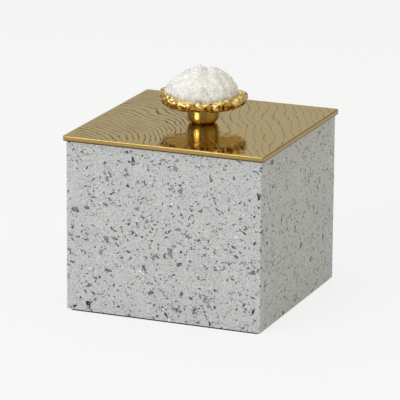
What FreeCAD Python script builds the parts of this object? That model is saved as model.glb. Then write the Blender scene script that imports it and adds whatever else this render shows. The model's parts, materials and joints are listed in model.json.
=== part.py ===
"""A lidded square box of sawn terrazzo slab with a lift-off brass-plated lid and a crystal knob.

Four mitred walls and a floor slab are cemented into a box that stands on a rubber pad.
The lid is a plate with a board under it that drops into the box's mouth, and four rubber
strips that land on the walls.  A stud cemented into the stone runs down through the
collar and the plate to a washer and a nut, and the board and its felt hide both.

Frame: millimetres, +Z up, origin on the standing plane under the box's centre, front face
towards -Y.  Every size comes from the sheet "Sizes".
"""
import FreeCAD, Part
import math
import os
import Sketcher

OUT_FOLDER = "parts"

# alias, millimetres (degrees for a turn, a count for facets), meaning
SIZES = [
    ("box_width", 120, "outer width along X"),
    ("box_depth", 120, "outer depth along Y"),
    ("wall_height", 100, "height of the wall slabs"),
    ("wall_thickness", 8, "thickness of the wall slabs"),
    ("floor_thickness", 8, "thickness of the floor slab"),
    ("arris", 0.5, "flat ground on the upright corners, along each face"),
    ("edge_ease", 0.35, "round on the slabs' long top and bottom edges"),
    ("pad_thickness", 1, "rubber pad under the box"),
    ("pad_inset", 1.2, "pad edge in from the wall face"),
    ("pad_corner", 3, "round on the pad's corners"),
    ("lid_overhang", 1.6, "lid plate past the wall face"),
    ("lid_thickness", 3, "lid plate"),
    ("lid_corner", 1.4, "round on the plate's upright corners"),
    ("lid_edge", 0.6, "round on the plate's top edge"),
    ("lid_under_edge", 0.3, "round on the plate's lower edge"),
    ("bumper_thickness", 0.5, "strip between plate and walls"),
    ("bumper_inset", 0.7, "strip edge in from the wall's edges"),
    ("board_clearance", 0.8, "gap between board and wall, each side"),
    ("board_corner", 3, "round on the board's upright corners"),
    ("board_lead_in", 1, "chamfer round the board's lower edge"),
    ("felt_thickness", 0.8, "felt under the board"),
    ("felt_inset", 1.4, "felt edge in from the board's edge"),
    ("stud_diameter", 5, "threaded stud"),
    ("stud_in_stone", 9, "length of stud above the collar"),
    ("stud_tail", 0.5, "length of stud below the nut"),
    ("stud_end_chamfer", 0.5, "chamfer on the stud's ends"),
    ("stud_clearance", 0.2, "gap round the stud in collar, plate and washer"),
    ("thread_gap", 0.05, "gap round the stud in the nut"),
    ("glue_gap", 0.15, "cement round the stud in the stone"),
    ("washer_diameter", 10, "flat washer"),
    ("washer_thickness", 1, "flat washer"),
    ("nut_across_flats", 8, "hexagon nut"),
    ("nut_height", 4, "hexagon nut"),
    ("nut_cover", 0.5, "room between the stud's end and the felt"),
    ("relief_clearance", 1, "gap round the washer in the board"),
    ("collar_diameter", 18.7, "turned collar under the stone"),
    ("collar_height", 10.6, "turned collar under the stone"),
    ("collar_foot_round", 4.2, "round on the collar's lower edge"),
    ("collar_top_round", 0.6, "round on the collar's upper edge"),
    ("stone_turn", 22, "turn of the stone about the knob's axis"),
    ("stone_facets", 44, "facets round the stone"),
    ("rim_length", 50.6, "gilt rim, long way"),
    ("rim_breadth", 44, "gilt rim, short way"),
    ("rim_rise", 5, "rim edge above the collar, at the middle of the long sides"),
    ("rim_end_lift", 2.9, "rise of the rim's ends over its middle"),
    ("rim_right_drop", 1.6, "fall of the rim's right end from that rise"),
    ("rim_wave", 0.5, "size of the waves along the rim"),
    ("gilt_flat", 22, "half length of the flat under the gilding"),
    ("gilt_thickness", 1.4, "gilt skin under the stone"),
    ("gilt_lip", 3, "mean breadth of the gilt lip round the crystals"),
    ("crystal_shift", 1.3, "crystals off the knob's axis, towards the stone's left end"),
    ("crystal_top", 22.9, "top of the crystals above the collar"),
    ("crystal_lean", 3.4, "how far the top leans back over the axis from the foot's middle"),
    ("crystal_slope", 1.75, "how the sides rise: 1 is an ellipse, 2 a parabola"),
    ("crystal_levels", 8, "rings of facets up the crystals"),
    ("crystal_roughness", 0.9, "how far facet corners stand in or out"),
]

MOUTH_WIDTH = "(Sizes.box_width - 2 * Sizes.wall_thickness)"
MOUTH_DEPTH = "(Sizes.box_depth - 2 * Sizes.wall_thickness)"
BOARD_WIDTH = f"({MOUTH_WIDTH} - 2 * Sizes.board_clearance)"
BOARD_DEPTH = f"({MOUTH_DEPTH} - 2 * Sizes.board_clearance)"
BOARD_THICKNESS = (
    "(Sizes.washer_thickness + Sizes.nut_height + Sizes.stud_tail + Sizes.nut_cover)"
)
STUD_RADIUS = "(Sizes.stud_diameter / 2)"
STUD_HOLE = f"({STUD_RADIUS} + Sizes.stud_clearance)"
BOX_BOTTOM = "Sizes.pad_thickness"
WALL_TOP = f"({BOX_BOTTOM} + Sizes.wall_height)"
PLATE_BOTTOM = f"({WALL_TOP} + Sizes.bumper_thickness)"
PLATE_TOP = f"({PLATE_BOTTOM} + Sizes.lid_thickness)"
BOARD_BOTTOM = f"({PLATE_BOTTOM} - {BOARD_THICKNESS})"
WASHER_BOTTOM = f"({PLATE_BOTTOM} - Sizes.washer_thickness)"
NUT_BOTTOM = f"({WASHER_BOTTOM} - Sizes.nut_height)"
STUD_BOTTOM = f"({NUT_BOTTOM} - Sizes.stud_tail)"
STONE_SEAT = f"({PLATE_TOP} + Sizes.collar_height)"

document = FreeCAD.newDocument("LiddedBox")
sheet = document.addObject("Spreadsheet::Sheet", "Sizes")
for row, (alias, number, meaning) in enumerate(SIZES, start=1):
    sheet.set(f"A{row}", alias)
    sheet.set(f"B{row}", str(number))
    sheet.setAlias(f"B{row}", alias)
    sheet.set(f"C{row}", meaning)
document.recompute()

sub_parts = []


# ---------------------------------------------------------------- modelling helpers


def value(expression):
    """What an expression on the sheet comes to, as a plain number."""
    return float(sheet.evalExpression(expression))


def new_body(label, level):
    """A PartDesign body whose local zero stands at the height given by level."""
    body = document.addObject("PartDesign::Body", label)
    body.setExpression("Placement.Base.z", level)
    sub_parts.append(body)
    return body


def new_sketch(body, name, plane):
    """A sketch on one of the body's own origin planes."""
    sketch = body.newObject("Sketcher::SketchObject", f"{body.Name}_{name}")
    planes = {feature.Role: feature for feature in body.Origin.OriginFeatures}
    sketch.AttachmentSupport = (planes[plane], "")
    sketch.MapMode = "FlatFace"
    return sketch


def draw_polygon(sketch, corners):
    """A closed outline whose corners are pairs of expressions, each bound to the sheet."""
    first = sketch.GeometryCount
    spots = [FreeCAD.Vector(value(x), value(y), 0) for x, y in corners]
    count = len(spots)
    for index, spot in enumerate(spots):
        sketch.addGeometry(Part.LineSegment(spot, spots[(index + 1) % count]), False)
    for index, (x, y) in enumerate(corners):
        line, following = first + index, first + (index + 1) % count
        sketch.addConstraint(Sketcher.Constraint("Coincident", line, 2, following, 1))
        for axis, expression in (("X", x), ("Y", y)):
            number = sketch.addConstraint(
                Sketcher.Constraint("Distance" + axis, -1, 1, line, 1, value(expression))
            )
            sketch.setExpression(f"Constraints[{number}]", expression)


def draw_rectangle(sketch, width, depth):
    """A rectangle centred on the sketch's origin."""
    right, back = f"{width} / 2", f"{depth} / 2"
    left, front = f"-{right}", f"-{back}"
    draw_polygon(sketch, [(left, front), (right, front), (right, back), (left, back)])


def draw_circle(sketch, radius):
    """A circle centred on the sketch's origin."""
    circle = Part.Circle(FreeCAD.Vector(), FreeCAD.Vector(0, 0, 1), value(radius))
    number = sketch.addGeometry(circle, False)
    sketch.addConstraint(Sketcher.Constraint("Coincident", number, 3, -1, 1))
    rim = sketch.addConstraint(Sketcher.Constraint("Radius", number, value(radius)))
    sketch.setExpression(f"Constraints[{rim}]", radius)


def pad(body, sketch, length):
    """The sketch raised upwards by length."""
    feature = body.newObject("PartDesign::Pad", f"{body.Name}_Pad")
    feature.Profile = sketch
    feature.setExpression("Length", length)
    sketch.Visibility = False
    document.recompute()
    return feature


def cut_through(body, sketch):
    """The sketch cut upwards through the whole body."""
    before = body.Shape.Volume
    feature = body.newObject("PartDesign::Pocket", f"{body.Name}_Hole")
    feature.Profile = sketch
    feature.Type = "ThroughAll"
    feature.Reversed = True
    document.recompute()
    if not body.Shape.Volume < before:
        raise RuntimeError(f"{feature.Name} cut nothing")
    return feature


def dress(body, kind, size, wanted):
    """A Fillet or Chamfer on the body's edges for which wanted(edge) holds."""
    base = body.Tip
    names = [
        f"Edge{number}"
        for number, edge in enumerate(base.Shape.Edges, start=1)
        if wanted(edge)
    ]
    if not names:
        raise RuntimeError(f"{body.Name} has no edge for its {kind}")
    feature = body.newObject(f"PartDesign::{kind}", f"{body.Name}_{kind}")
    feature.Base = (base, names)
    feature.setExpression("Radius" if kind == "Fillet" else "Size", size)
    document.recompute()
    return feature


def upright(edge):
    """True for an edge that runs straight up."""
    box = edge.BoundBox
    return box.ZLength > box.XLength + box.YLength


def at_height(height):
    """A test for edges that lie level at that height of the body's own frame."""
    def wanted(edge):
        box = edge.BoundBox
        return box.ZLength < 1e-6 and abs(box.ZMin - height) < 1e-6
    return wanted


# ---------------------------------------------------------------- the box


def wall(label, run, reach, turn):
    """A wall slab, mitred at both ends.

    run is its length and reach the distance from the box's axis to its outer face.
    The tips of the mitres are ground back to leave the flat arris on each corner.
    """
    body = new_body(label, BOX_BOTTOM)
    body.Placement.Rotation = FreeCAD.Rotation(FreeCAD.Vector(0, 0, 1), turn)
    half = f"{run} / 2"
    outer, inner = f"-{reach}", f"-{reach} + Sizes.wall_thickness"
    tip = f"-{reach} + Sizes.arris / 2"
    right_side = [
        (f"{half} - Sizes.arris", outer),
        (f"{half} - Sizes.arris / 2", tip),
        (f"{half} - Sizes.wall_thickness", inner),
    ]
    left_side = [(f"-({x})", y) for x, y in reversed(right_side)]
    sketch = new_sketch(body, "Outline", "XY_Plane")
    draw_polygon(sketch, right_side + left_side)
    pad(body, sketch, "Sizes.wall_height")
    top = value("Sizes.wall_height")
    long_edge = value(run) / 2

    def long_level_edge(edge):
        box = edge.BoundBox
        level = at_height(0)(edge) or at_height(top)(edge)
        return level and box.YLength < 1e-6 and box.XLength > long_edge

    dress(body, "Fillet", "Sizes.edge_ease", long_level_edge)


def floor_slab():
    """The floor, cemented between the walls level with their lower edges."""
    slab = document.addObject("Part::Box", "floor_slab")
    slab.setExpression("Length", MOUTH_WIDTH)
    slab.setExpression("Width", MOUTH_DEPTH)
    slab.setExpression("Height", "Sizes.floor_thickness")
    slab.setExpression("Placement.Base.x", f"-{MOUTH_WIDTH} / 2")
    slab.setExpression("Placement.Base.y", f"-{MOUTH_DEPTH} / 2")
    slab.setExpression("Placement.Base.z", BOX_BOTTOM)
    sub_parts.append(slab)


def base_pad():
    """The rubber sheet that the box stands on."""
    body = new_body("base_pad", "0")
    sketch = new_sketch(body, "Outline", "XY_Plane")
    draw_rectangle(
        sketch,
        "(Sizes.box_width - 2 * Sizes.pad_inset)",
        "(Sizes.box_depth - 2 * Sizes.pad_inset)",
    )
    pad(body, sketch, "Sizes.pad_thickness")
    dress(body, "Fillet", "Sizes.pad_corner", upright)


# ---------------------------------------------------------------- the lid


def lid_plate():
    """The square plate, with its edges rounded and a hole for the knob's stud."""
    body = new_body("lid_plate", PLATE_BOTTOM)
    sketch = new_sketch(body, "Outline", "XY_Plane")
    draw_rectangle(
        sketch,
        "(Sizes.box_width + 2 * Sizes.lid_overhang)",
        "(Sizes.box_depth + 2 * Sizes.lid_overhang)",
    )
    pad(body, sketch, "Sizes.lid_thickness")
    dress(body, "Fillet", "Sizes.lid_corner", upright)
    dress(body, "Fillet", "Sizes.lid_edge", at_height(value("Sizes.lid_thickness")))
    dress(body, "Fillet", "Sizes.lid_under_edge", at_height(0))
    hole = new_sketch(body, "StudHole", "XY_Plane")
    draw_circle(hole, STUD_HOLE)
    cut_through(body, hole)


def lid_bumpers():
    """Four strips under the plate that land on the tops of the walls."""
    across = "(Sizes.wall_thickness - 2 * Sizes.bumper_inset)"
    long_run = "(Sizes.box_width - 2 * Sizes.bumper_inset)"
    short_run = f"(Sizes.box_depth - 2 * Sizes.bumper_inset - 2 * {across})"
    left = "(-Sizes.box_width / 2 + Sizes.bumper_inset)"
    front = "(-Sizes.box_depth / 2 + Sizes.bumper_inset)"
    for side, length, width, x, y in (
        ("front", long_run, across, left, front),
        ("right", across, short_run, f"-{left} - {across}", f"{front} + {across}"),
        ("back", long_run, across, left, f"-{front} - {across}"),
        ("left", across, short_run, left, f"{front} + {across}"),
    ):
        strip = document.addObject("Part::Box", f"bumper_{side}")
        strip.setExpression("Length", length)
        strip.setExpression("Width", width)
        strip.setExpression("Height", "Sizes.bumper_thickness")
        strip.setExpression("Placement.Base.x", x)
        strip.setExpression("Placement.Base.y", y)
        strip.setExpression("Placement.Base.z", WALL_TOP)
        sub_parts.append(strip)


def locating_board():
    """The board that drops into the mouth, with a relief for the washer and nut."""
    body = new_body("locating_board", BOARD_BOTTOM)
    sketch = new_sketch(body, "Outline", "XY_Plane")
    draw_rectangle(sketch, BOARD_WIDTH, BOARD_DEPTH)
    pad(body, sketch, BOARD_THICKNESS)
    dress(body, "Fillet", "Sizes.board_corner", upright)
    dress(body, "Chamfer", "Sizes.board_lead_in", at_height(0))
    relief = new_sketch(body, "Relief", "XY_Plane")
    draw_circle(relief, "Sizes.washer_diameter / 2 + Sizes.relief_clearance")
    cut_through(body, relief)


def board_felt():
    """The felt glued under the board."""
    body = new_body("board_felt", f"{BOARD_BOTTOM} - Sizes.felt_thickness")
    sketch = new_sketch(body, "Outline", "XY_Plane")
    draw_rectangle(
        sketch,
        f"({BOARD_WIDTH} - 2 * Sizes.felt_inset)",
        f"({BOARD_DEPTH} - 2 * Sizes.felt_inset)",
    )
    pad(body, sketch, "Sizes.felt_thickness")
    dress(body, "Fillet", "Sizes.board_corner", upright)


# ---------------------------------------------------------------- the knob's metalwork


def ring_body(label, level, outer, inner, height):
    """A flat-ended round piece with a hole through it."""
    body = new_body(label, level)
    sketch = new_sketch(body, "Section", "XY_Plane")
    draw_circle(sketch, outer)
    draw_circle(sketch, inner)
    pad(body, sketch, height)
    return body


def outer_circle(height, radius):
    """A test for the full circle of that radius at that height."""
    def wanted(edge):
        box = edge.BoundBox
        return at_height(height)(edge) and abs(box.XLength - 2 * radius) < 1e-3
    return wanted


def knob_collar():
    """The turned collar that the stone sits on, with a rounded foot."""
    radius = value("Sizes.collar_diameter") / 2
    height = value("Sizes.collar_height")
    body = ring_body(
        "knob_collar", PLATE_TOP, "Sizes.collar_diameter / 2", STUD_HOLE, "Sizes.collar_height"
    )
    dress(body, "Fillet", "Sizes.collar_foot_round", outer_circle(0, radius))
    dress(body, "Fillet", "Sizes.collar_top_round", outer_circle(height, radius))


def knob_stud():
    """The stud, from below the nut to its blind hole in the stone."""
    body = new_body("knob_stud", STUD_BOTTOM)
    sketch = new_sketch(body, "Section", "XY_Plane")
    draw_circle(sketch, STUD_RADIUS)
    pad(body, sketch, f"{STONE_SEAT} + Sizes.stud_in_stone - {STUD_BOTTOM}")
    dress(body, "Chamfer", "Sizes.stud_end_chamfer", lambda edge: edge.BoundBox.ZLength < 1e-6)


def knob_washer():
    """The washer under the plate."""
    ring_body(
        "knob_washer", WASHER_BOTTOM, "Sizes.washer_diameter / 2", STUD_HOLE,
        "Sizes.washer_thickness",
    )


def knob_nut():
    """The hexagon nut under the washer."""
    body = new_body("knob_nut", NUT_BOTTOM)
    sketch = new_sketch(body, "Hexagon", "XY_Plane")
    corner = "(Sizes.nut_across_flats / 2 / cos(30deg))"
    draw_polygon(
        sketch,
        [(f"{corner} * cos({turn}deg)", f"{corner} * sin({turn}deg)") for turn in range(0, 360, 60)],
    )
    pad(body, sketch, "Sizes.nut_height")
    bore = new_sketch(body, "Bore", "XY_Plane")
    draw_circle(bore, f"{STUD_RADIUS} + Sizes.thread_gap")
    cut_through(body, bore)


# ---------------------------------------------------------------- the stone


def rim_radius(turn, inset=0.0):
    """Plan radius of the wavy rim at an angle, taken in by inset."""
    long_half = value("Sizes.rim_length / 2") - inset
    short_half = value("Sizes.rim_breadth / 2") - inset
    oval = long_half * short_half / math.hypot(
        short_half * math.cos(turn), long_half * math.sin(turn)
    )
    waves = math.sin(5 * turn + 0.6) + 0.6 * math.sin(11 * turn + 2.1)
    return oval + value("Sizes.rim_wave") / 2 * waves


def rim_height(turn):
    """Height of the rim's edge above the collar at an angle."""
    waves = 0.6 * math.sin(7 * turn + 1.3) + 0.4 * math.sin(13 * turn)
    lift = value("Sizes.rim_end_lift") * math.cos(turn) ** 2
    drop = value("Sizes.rim_right_drop") * max(0, math.cos(turn)) ** 3
    return value("Sizes.rim_rise") + lift - drop + value("Sizes.rim_wave") * waves


def flat_share():
    """The flat's reach under the gilding as a share of the rim's."""
    return value("Sizes.gilt_flat / (Sizes.rim_length / 2)")


def ring(radius, height, shift=0.0):
    """Points round the knob's axis, or beside it by shift, from functions of the angle."""
    count = int(value("Sizes.stone_facets"))
    turns = [2 * math.pi * step / count for step in range(count)]
    return [
        FreeCAD.Vector(radius(t) * math.cos(t) - shift, radius(t) * math.sin(t), height(t))
        for t in turns
    ]


def faceted_solid(rings, bottom, top):
    """A closed solid of flat triangles between rings of points and two end points.

    Each four-cornered patch is split from the ring that lies nearer the axis, so that two
    solids that share a pair of rings meet face to face.
    """
    faces = []

    def triangle(a, b, c):
        faces.append(Part.Face(Part.makePolygon([a, b, c, a])))

    count = len(rings[0])
    for index in range(count):
        following = (index + 1) % count
        triangle(bottom, rings[0][following], rings[0][index])
        triangle(top, rings[-1][index], rings[-1][following])
        for lower, upper in zip(rings, rings[1:]):
            if math.hypot(upper[0].x, upper[0].y) < math.hypot(lower[0].x, lower[0].y):
                triangle(lower[index], lower[following], upper[index])
                triangle(lower[following], upper[following], upper[index])
            else:
                triangle(lower[index], lower[following], upper[following])
                triangle(lower[index], upper[following], upper[index])
    solid = Part.Solid(Part.Shell(faces))
    if solid.Volume < 0:
        solid.reverse()
    return solid


def seat_rings():
    """Where stone and gilding meet, from the axis out: the flat, then the lip."""
    lip = value("Sizes.gilt_lip")
    skin = value("Sizes.gilt_thickness")
    return [
        ring(lambda t: flat_share() * rim_radius(t, lip), lambda t: skin),
        ring(lambda t: rim_radius(t, lip), rim_height, value("Sizes.crystal_shift")),
    ]


def drilled_for_stud(shape):
    """The shape with the stud's blind hole, which leaves room for cement."""
    radius = value(f"{STUD_RADIUS} + Sizes.glue_gap")
    depth = value("Sizes.stud_in_stone + Sizes.glue_gap")
    return shape.cut(Part.makeCylinder(radius, depth))


def place_stone_piece(label, shape):
    """A piece of the knob's head, seated on the collar and turned about its axis."""
    piece = document.addObject("Part::Feature", label)
    piece.Shape = shape
    piece.Placement = FreeCAD.Placement(
        FreeCAD.Vector(0, 0, value(STONE_SEAT)),
        FreeCAD.Rotation(FreeCAD.Vector(0, 0, 1), value("Sizes.stone_turn")),
    )
    sub_parts.append(piece)


def gilt_rim():
    """The gilded skirt: flat on the collar, flared to a wavy edge round the crystals."""
    round_over = 0.25 * value("Sizes.gilt_lip")
    outside = [
        ring(lambda t: flat_share() * rim_radius(t), lambda t: 0.0),
        ring(rim_radius, lambda t: 0.6 * rim_height(t)),
        ring(lambda t: rim_radius(t, round_over), rim_height),
    ]
    inside = list(reversed(seat_rings()))
    skin_top = FreeCAD.Vector(0, 0, value("Sizes.gilt_thickness"))
    shape = faceted_solid(outside + inside, FreeCAD.Vector(), skin_top)
    place_stone_piece("gilt_rim", drilled_for_stud(shape))


def rough(index, level):
    """A repeatable number between -1 and 1 for each facet corner of the crystals."""
    return 2 * (abs(math.sin(12.9898 * index + 78.233 * level)) * 43758.5453 % 1) - 1


def crystal_cluster():
    """The quartz: a rough dome of crystals that rises out of the gilded skirt."""
    shift = value("Sizes.crystal_shift")
    lean = value("Sizes.crystal_lean")
    summit = value("Sizes.crystal_top")
    slope = value("Sizes.crystal_slope")
    levels = int(value("Sizes.crystal_levels"))
    swing = value("Sizes.crystal_roughness")
    foot = seat_rings()[-1]
    centre = FreeCAD.Vector(-shift, 0, 0)
    dome = []
    for level in range(1, levels):
        climb = math.pi / 2 * level / levels
        share = math.sin(climb) ** slope
        middle = centre + FreeCAD.Vector(lean * share, 0, 0)
        points = []
        for index, start in enumerate(foot):
            out = FreeCAD.Vector(start.x, start.y, 0) - centre
            reach = out * (math.cos(climb) + swing * rough(index, level) / out.Length)
            height = start.z + (summit - start.z) * share
            points.append(middle + reach + FreeCAD.Vector(0, 0, height))
        dome.append(points)
    top = centre + FreeCAD.Vector(lean, 0, summit)
    bottom = FreeCAD.Vector(0, 0, value("Sizes.gilt_thickness"))
    place_stone_piece(
        "crystal_cluster", drilled_for_stud(faceted_solid(seat_rings() + dome, bottom, top))
    )


# ---------------------------------------------------------------- build and write


def check():
    """Stops the build if any object failed or any sub-part is not sound."""
    for item in document.Objects:
        if "Invalid" in item.State or "Error" in item.State:
            raise RuntimeError(f"{item.Name} failed: {item.State}")
    for item in sub_parts:
        shape = item.Shape
        if shape.isNull() or not shape.isValid() or not shape.Solids:
            raise RuntimeError(f"{item.Label} is not a sound solid")


wall("wall_front", "Sizes.box_width", "Sizes.box_depth / 2", 0)
wall("wall_right", "Sizes.box_depth", "Sizes.box_width / 2", 90)
wall("wall_back", "Sizes.box_width", "Sizes.box_depth / 2", 180)
wall("wall_left", "Sizes.box_depth", "Sizes.box_width / 2", 270)
floor_slab()
base_pad()
lid_plate()
lid_bumpers()
locating_board()
board_felt()
knob_collar()
knob_stud()
knob_washer()
knob_nut()
gilt_rim()
crystal_cluster()

document.recompute()
check()
os.makedirs(OUT_FOLDER, exist_ok=True)
for sub_part in sub_parts:
    sub_part.Shape.exportStep(os.path.join(OUT_FOLDER, f"{sub_part.Label}.step"))
    print(f"{sub_part.Label}: {sub_part.Shape.Volume:.1f} mm3")
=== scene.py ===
import json
import math
import random

import bmesh
import bpy
from mathutils import Matrix, Vector, noise

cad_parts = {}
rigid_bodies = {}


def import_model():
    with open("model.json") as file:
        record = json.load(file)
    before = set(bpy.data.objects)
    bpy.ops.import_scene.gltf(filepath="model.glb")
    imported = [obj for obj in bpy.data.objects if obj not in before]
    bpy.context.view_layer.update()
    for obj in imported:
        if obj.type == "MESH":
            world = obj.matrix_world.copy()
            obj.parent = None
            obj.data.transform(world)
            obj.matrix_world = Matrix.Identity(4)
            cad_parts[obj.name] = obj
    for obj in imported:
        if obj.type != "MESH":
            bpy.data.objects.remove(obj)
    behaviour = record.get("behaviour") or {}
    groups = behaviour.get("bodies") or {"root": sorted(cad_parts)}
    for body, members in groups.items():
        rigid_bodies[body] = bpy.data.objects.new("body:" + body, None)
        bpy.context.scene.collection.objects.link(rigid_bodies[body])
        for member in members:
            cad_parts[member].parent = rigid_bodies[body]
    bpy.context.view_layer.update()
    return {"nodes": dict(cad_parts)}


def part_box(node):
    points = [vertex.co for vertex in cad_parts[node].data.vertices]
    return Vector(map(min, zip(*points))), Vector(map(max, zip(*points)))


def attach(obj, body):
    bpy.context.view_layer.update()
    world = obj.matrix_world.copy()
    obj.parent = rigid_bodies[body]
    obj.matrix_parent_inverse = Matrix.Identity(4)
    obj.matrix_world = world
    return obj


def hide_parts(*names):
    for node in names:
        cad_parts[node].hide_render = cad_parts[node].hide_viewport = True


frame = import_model()


# ---------------------------------------------------------------- the studio
# A camera with a long lens looks down on the box's front right corner.  The floor is white
# paper, the room is grey and lighter at the back, and soft boxes stand at the front left, at
# the right, where it is warm, and overhead.

MM = 0.001
SENSOR_WIDTH = 36
VIEW_TURN = math.radians(22.10)
VIEW_RISE = math.radians(15.62)
VIEW_ROLL = math.radians(0.374)
CAMERA_DISTANCE = 1.9128
CAMERA_SHIFT_RIGHT = -0.00108
CAMERA_SHIFT_UP = 0.05533
CAMERA_LENS = 292.13

bpy.ops.object.camera_add()
camera = bpy.context.object
camera.name = "studio_camera"
camera.matrix_world = (
    Matrix.Rotation(VIEW_TURN, 4, "Z")
    @ Matrix.Rotation(math.pi / 2 - VIEW_RISE, 4, "X")
    @ Matrix.Rotation(VIEW_ROLL, 4, "Z")
    @ Matrix.Translation((CAMERA_SHIFT_RIGHT, CAMERA_SHIFT_UP, CAMERA_DISTANCE))
)
camera.data.lens = CAMERA_LENS
camera.data.sensor_width = SENSOR_WIDTH
camera.data.clip_start = 0.05
bpy.context.scene.camera = camera
bpy.context.scene.view_settings.view_transform = "Standard"


def linear(code):
    """An sRGB hex colour as the linear numbers that shaders take."""
    parts = [int(code[place:place + 2], 16) / 255 for place in (1, 3, 5)]
    return [
        part / 12.92 if part <= 0.04045 else ((part + 0.055) / 1.055) ** 2.4 for part in parts
    ] + [1.0]


def plug(node, inputs):
    """Sets a node's inputs, by name or number, to values, sockets or nodes' first outputs."""
    shown = [socket for socket in node.inputs if socket.enabled]
    for name, source in inputs.items():
        by_number = isinstance(name, int)
        target = shown[name] if by_number else next(s for s in shown if s.name == name)
        if isinstance(source, bpy.types.Node):
            source = next(socket for socket in source.outputs if socket.enabled)
        if isinstance(source, bpy.types.NodeSocket):
            node.id_data.links.new(source, target)
        else:
            target.default_value = source


def add_node(tree, kind, inputs=None, **settings):
    """Adds a node with its settings and its inputs."""
    added = tree.nodes.new(kind)
    for name, setting in settings.items():
        setattr(added, name, setting)
    plug(added, inputs or {})
    return added


FLOOR_RADIUS = 6
PAPER_WHITE = "#F6F6F6"
# share of the paper's tone, in view and in mirrors, that comes from the light on it
SHADOW_SHARE = 0.15
PAPER_LIFT = 1.03

bpy.ops.object.select_all(action="DESELECT")
bpy.ops.mesh.primitive_circle_add(vertices=96, radius=FLOOR_RADIUS, fill_type="NGON")
floor = bpy.context.object
floor.name = "paper_floor"
paper = bpy.data.materials.new("white_paper")
paper.use_nodes = True
tree = paper.node_tree
tree.nodes.clear()
ray = add_node(tree, "ShaderNodeLightPath")
in_view = add_node(
    tree, "ShaderNodeMath", {0: ray.outputs["Is Camera Ray"], 1: ray.outputs["Is Glossy Ray"]},
    operation="MAXIMUM",
)
in_view = add_node(
    tree, "ShaderNodeMath", {0: in_view, 1: ray.outputs["Is Transmission Ray"]},
    operation="MAXIMUM",
)
even_share = add_node(
    tree, "ShaderNodeMath", {0: in_view, 1: 1 - SHADOW_SHARE}, operation="MULTIPLY"
)
lit_paper = add_node(tree, "ShaderNodeBsdfDiffuse", {"Color": linear(PAPER_WHITE)})
even_paper = add_node(
    tree, "ShaderNodeEmission", {"Color": linear(PAPER_WHITE), "Strength": PAPER_LIFT}
)
mixed_paper = add_node(tree, "ShaderNodeMixShader", {0: even_share, 1: lit_paper, 2: even_paper})
add_node(tree, "ShaderNodeOutputMaterial", {"Surface": mixed_paper})
floor.data.materials.append(paper)

ROOM_COLOUR = "#FBFBF9"
ROOM_DIM = 0.25
ROOM_BRIGHT = 0.645
# cosines of the angles from straight behind at which the room is dim and bright
ROOM_DIM_AT = 0.55
ROOM_BRIGHT_AT = 0.92

room = bpy.data.worlds.new("grey_room")
room.use_nodes = True
bpy.context.scene.world = room
tree = room.node_tree
toward = add_node(tree, "ShaderNodeTexCoord")
backward = add_node(
    tree, "ShaderNodeVectorMath",
    {0: toward.outputs["Generated"], 1: (-math.sin(VIEW_TURN), math.cos(VIEW_TURN), 0)},
    operation="DOT_PRODUCT",
)
room_strength = add_node(
    tree, "ShaderNodeMapRange",
    {"Value": backward.outputs["Value"], "From Min": ROOM_DIM_AT, "From Max": ROOM_BRIGHT_AT,
     "To Min": ROOM_DIM, "To Max": ROOM_BRIGHT},
    interpolation_type="SMOOTHSTEP",
)
plug(tree.nodes["Background"], {"Color": linear(ROOM_COLOUR), "Strength": room_strength})


AIM = Vector((0, 0, 80 * MM))


def soft_box(name, turn, rise, distance, width, height, radiance, tint="#FFFFFF"):
    """A rectangular lamp aimed at the box's upper part, turned from the front towards +X."""
    turn, rise = math.radians(turn), math.radians(rise)
    away = Vector((
        math.sin(turn) * math.cos(rise), -math.cos(turn) * math.cos(rise), math.sin(rise)
    ))
    bpy.ops.object.light_add(type="AREA", location=AIM + away * distance)
    lamp = bpy.context.object
    lamp.name = name
    lamp.rotation_euler = away.to_track_quat("Z", "Y").to_euler()
    lamp.data.shape = "RECTANGLE"
    lamp.data.size = width
    lamp.data.size_y = height
    lamp.data.energy = radiance * math.pi * width * height
    lamp.data.color = linear(tint)[:3]


soft_box("key_box", turn=-24, rise=17, distance=4.0, width=1.9, height=1.24, radiance=10.4)
soft_box(
    "fill_box", turn=84, rise=25, distance=2.4, width=3.0, height=2.1, radiance=0.32, tint="#FFE638"
)
soft_box("top_box", turn=-10, rise=86, distance=1.3, width=2.2, height=2.2, radiance=1.05)


# ---------------------------------------------------------------- the slabs of the box
# Terrazzo: crushed dark glass and stone in a pale grey resin, cast as a block, sawn to 8 mm
# slabs and honed, so each chip is cut flat and the chips run on through the thickness.  The
# honed face is matt with a soft sheen.  Each chip is painted lighter towards one side as a
# painted sheen of glass, and white flecks are painted highlights of chips catching the light.

SLAB_GREY = "#B9BBBB"
CHIP_DARK = "#080909"
CHIP_LIGHT = "#7F8281"
PAINTED_GLINT_WHITE = "#E4E6E6"
# sizes in mm: the sand in the resin is about 0.2 mm, too fine to show, and is drawn coarser
GRAIN_SIZE = 0.7
GRAIN_DARK, GRAIN_PALE = 0.70, 1.27
CLOUD_SIZE = 14
CLOUD_DARK, CLOUD_PALE = 0.97, 1.03
CROWD_SIZE = 16
CROWD_FEW, CROWD_MANY = 0.7, 1.3
RAGGED_PER_MM = 0.9
RAGGED_REACH = 0.45
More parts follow.
